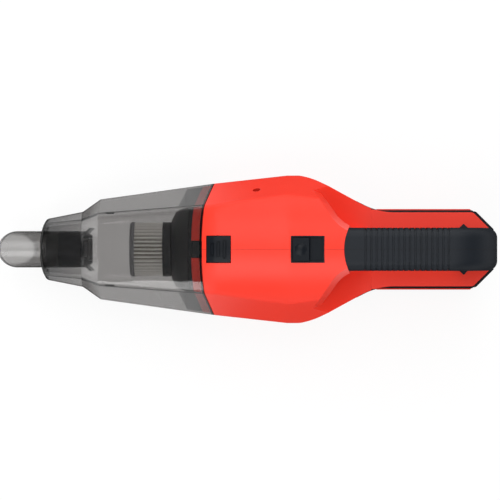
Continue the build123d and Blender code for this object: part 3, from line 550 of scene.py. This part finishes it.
white = add(tree, "ShaderNodeMath", links={0: seen.outputs[0], 1: mirrored.outputs[0]}, operation="MAXIMUM")
amount = add(tree, "ShaderNodeMath", {1: FLOOR_GLOW}, {0: white.outputs[0]}, operation="MULTIPLY")
tone = add(tree, "ShaderNodeMix", {"A": linear("#F2F2F2"), "B": linear("#2C2C2C")}, data_type="RGBA")
tree.links.new(rays.outputs["Is Glossy Ray"], tone.inputs["Factor"])
matt = add(tree, "ShaderNodeBsdfDiffuse", links={"Color": tone.outputs["Result"]})
glow = add(tree, "ShaderNodeEmission", {"Color": WHITE, "Strength": 1.0})
both = add(tree, "ShaderNodeMixShader", links={0: amount.outputs[0], 1: matt.outputs[0], 2: glow.outputs[0]})
side = add(tree, "ShaderNodeNewGeometry")
nothing = add(tree, "ShaderNodeBsdfTransparent")
one_way = add(tree, "ShaderNodeMixShader", links={
    0: side.outputs["Backfacing"], 1: both.outputs[0], 2: nothing.outputs[0]})
tree.links.new(one_way.outputs[0], tree.nodes["Material Output"].inputs["Surface"])
floor_mesh.materials.append(pale)
print("floor of", len(tree.nodes), "shader nodes")

# %% [markdown]
# ## Sky
# The sky is white to the camera and through the cup. In a mirror it is bright at the horizon and dark
# overhead, like a room with a low light tent, and it lights the vacuum at a plain, even level.

# %% Sky
HORIZON_GLOW = 1.8
OVERHEAD_GLOW = 0.1
TENT_TOP = 0.35
SKY_LIGHT = 0.45
world = bpy.data.worlds.new("White studio")
bpy.context.scene.world = world
world.use_nodes = True
tree = world.node_tree
sky = tree.nodes["Background"]
rays = add(tree, "ShaderNodeLightPath")
way = add(tree, "ShaderNodeTexCoord")
height = add(tree, "ShaderNodeSeparateXYZ", links={"Vector": way.outputs["Generated"]})
tent = add(tree, "ShaderNodeMapRange", {"From Min": 0.0, "From Max": TENT_TOP, "To Min": HORIZON_GLOW,
                                        "To Max": OVERHEAD_GLOW}, {"Value": height.outputs["Z"]})
mirrored = add(tree, "ShaderNodeMath", links={0: rays.outputs["Is Glossy Ray"], 1: tent.outputs["Result"]},
               operation="MULTIPLY")
seen = add(tree, "ShaderNodeMath", operation="MAXIMUM",
           links={0: rays.outputs["Is Camera Ray"], 1: rays.outputs["Is Transmission Ray"]})
white = add(tree, "ShaderNodeMath", links={0: seen.outputs[0], 1: mirrored.outputs[0]}, operation="MAXIMUM")
plain = add(tree, "ShaderNodeMath", {1: SKY_LIGHT}, {0: rays.outputs["Is Diffuse Ray"]},
            operation="MULTIPLY")
strength = add(tree, "ShaderNodeMath", links={0: white.outputs[0], 1: plain.outputs[0]}, operation="MAXIMUM")
tree.links.new(strength.outputs[0], sky.inputs["Strength"])
sky.inputs["Color"].default_value = WHITE
print("sky lights at", SKY_LIGHT)

# %% [markdown]
# ## Lamps
# Two broad panels hang high on the near and the far side. Two smaller ones stand low and reach the sides of
# the housing, and a weak one overhead lights the handle. A row gives a lamp's name, place, aim, size in
# metres and power in watts.


# %% Lamps
LAMPS = (
    ("Near strip", (-0.6, -0.95, 0.42), (0, 0, 0.06), 0.42, 1.8),
    ("Near panel", (-0.2, -0.65, 1.25), (0, 0, 0), 0.9, 8.5),
    ("Far strip", (0.15, 0.95, 0.42), (0.05, 0, 0.06), 0.6, 2.2),
    ("Far panel", (0.1, 0.75, 1.3), (0, 0, 0), 1.5, 14),
    ("Top panel", (0.3, 0.0, 1.8), (0, 0, 0.05), 0.5, 0.5),
)
for name, place, aim, size, power in LAMPS:
    lamp = bpy.data.lights.new(name, "AREA")
    lamp.shape = "DISK"
    lamp.size = size
    lamp.energy = power
    thing = bpy.data.objects.new(name, lamp)
    thing.location = place
    thing.rotation_euler = (Vector(aim) - Vector(place)).to_track_quat("-Z", "Y").to_euler()
    bpy.context.scene.collection.objects.link(thing)
print("lamps:", [row[0] for row in LAMPS])

# %% [markdown]
# ## Camera
# The photograph looks straight down with a long lens. At two metres above mid-height, one picture pixel
# covers 0.888 mm, which sets the focal length on a 36 mm wide sensor.

# %% Camera
PIXEL = 0.8876 * MM
PICTURE = 500
DISTANCE = 2.0
MID_HEIGHT = 60 * MM
PICTURE_CENTRE = (5.1 * MM, -0.6 * MM)
SENSOR = 36.0
eye = bpy.data.cameras.new("Overhead camera")
eye.sensor_width = SENSOR
eye.lens = SENSOR * DISTANCE / (PICTURE * PIXEL)
eye.clip_end = 50
camera = bpy.data.objects.new("Overhead camera", eye)
camera.location = (*PICTURE_CENTRE, MID_HEIGHT + DISTANCE)
bpy.context.scene.collection.objects.link(camera)
bpy.context.scene.camera = camera
bpy.context.scene.view_settings.view_transform = "Standard"
print("lens", round(eye.lens, 1), "mm")
